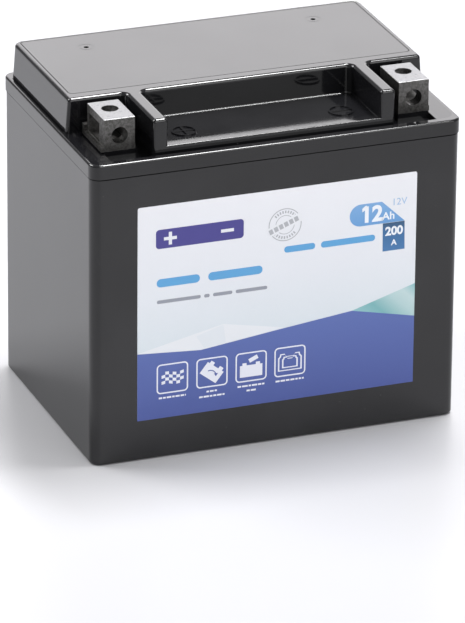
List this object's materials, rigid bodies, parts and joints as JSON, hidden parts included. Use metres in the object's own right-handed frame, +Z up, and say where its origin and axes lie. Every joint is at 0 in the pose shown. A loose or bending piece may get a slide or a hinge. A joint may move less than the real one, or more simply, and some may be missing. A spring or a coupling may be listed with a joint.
{
  "type": "motorcycle battery",
  "caption": "Black sealed motorcycle battery with a raised rear lid block, two boxed lead terminals at the front corners and a printed front label.",
  "frame": {"origin": "centre of the underside of the case", "axes": "+X along the case towards the negative terminal, +Y towards the back, +Z up"},
  "size_m": [0.15, 0.105, 0.137],
  "materials": {
    "jar_plastic": "black polypropylene, moulded, semi-gloss",
    "lid_plastic": "black polypropylene, moulded, semi-gloss",
    "cover_plastic": "black polypropylene, fine satin",
    "label_film": "printed polyester film, satin",
    "arrestor_stone": "sintered porous plastic, dark and matte",
    "terminal_lead": "cast lead alloy, dull grey",
    "strap_lead": "cast lead alloy, dull grey",
    "seal_rubber": "moulded rubber, matte",
    "cap_rubber": "moulded rubber, matte",
    "negative_paste": "sponge lead on a lead grid",
    "positive_paste": "lead dioxide on a lead grid",
    "glass_mat": "felted glass fibre, acid soaked"
  },
  "bodies": {
    "case": {"container": "jar_plastic", "lid": "lid_plastic", "cover_plate": "cover_plastic", "front_label": "label_film", "flame_arrestor_left": "arrestor_stone", "flame_arrestor_right": "arrestor_stone", "positive_terminal": "terminal_lead", "negative_terminal": "terminal_lead", "positive_post_seal": "seal_rubber", "negative_post_seal": "seal_rubber", "positive_end_strap": "strap_lead", "negative_end_strap": "strap_lead", "negative_plates_1": "negative_paste", "positive_plates_1": "positive_paste", "glass_mats_1": "glass_mat", "negative_plates_2": "negative_paste", "positive_plates_2": "positive_paste", "glass_mats_2": "glass_mat", "negative_plates_3": "negative_paste", "positive_plates_3": "positive_paste", "glass_mats_3": "glass_mat", "negative_plates_4": "negative_paste", "positive_plates_4": "positive_paste", "glass_mats_4": "glass_mat", "negative_plates_5": "negative_paste", "positive_plates_5": "positive_paste", "glass_mats_5": "glass_mat", "negative_plates_6": "negative_paste", "positive_plates_6": "positive_paste", "glass_mats_6": "glass_mat", "cell_connector_1": "strap_lead", "cell_connector_2": "strap_lead", "cell_connector_3": "strap_lead", "cell_connector_4": "strap_lead", "cell_connector_5": "strap_lead"},
    "valve_1": {"valve_cap_1": "cap_rubber"},
    "valve_2": {"valve_cap_2": "cap_rubber"},
    "valve_3": {"valve_cap_3": "cap_rubber"},
    "valve_4": {"valve_cap_4": "cap_rubber"},
    "valve_5": {"valve_cap_5": "cap_rubber"},
    "valve_6": {"valve_cap_6": "cap_rubber"}
  },
  "joints": [
    {"name": "valve_1_lift", "type": "slide", "parent": "case", "child": "valve_1", "axis": [0, 0, 1], "range_m": [0, 0.0006], "stiffness_N_per_m": 400, "springref_m": -0.001},
    {"name": "valve_2_lift", "type": "slide", "parent": "case", "child": "valve_2", "axis": [0, 0, 1], "range_m": [0, 0.0006], "stiffness_N_per_m": 400, "springref_m": -0.001},
    {"name": "valve_3_lift", "type": "slide", "parent": "case", "child": "valve_3", "axis": [0, 0, 1], "range_m": [0, 0.0006], "stiffness_N_per_m": 400, "springref_m": -0.001},
    {"name": "valve_4_lift", "type": "slide", "parent": "case", "child": "valve_4", "axis": [0, 0, 1], "range_m": [0, 0.0006], "stiffness_N_per_m": 400, "springref_m": -0.001},
    {"name": "valve_5_lift", "type": "slide", "parent": "case", "child": "valve_5", "axis": [0, 0, 1], "range_m": [0, 0.0006], "stiffness_N_per_m": 400, "springref_m": -0.001},
    {"name": "valve_6_lift", "type": "slide", "parent": "case", "child": "valve_6", "axis": [0, 0, 1], "range_m": [0, 0.0006], "stiffness_N_per_m": 400, "springref_m": -0.001}
  ]
}
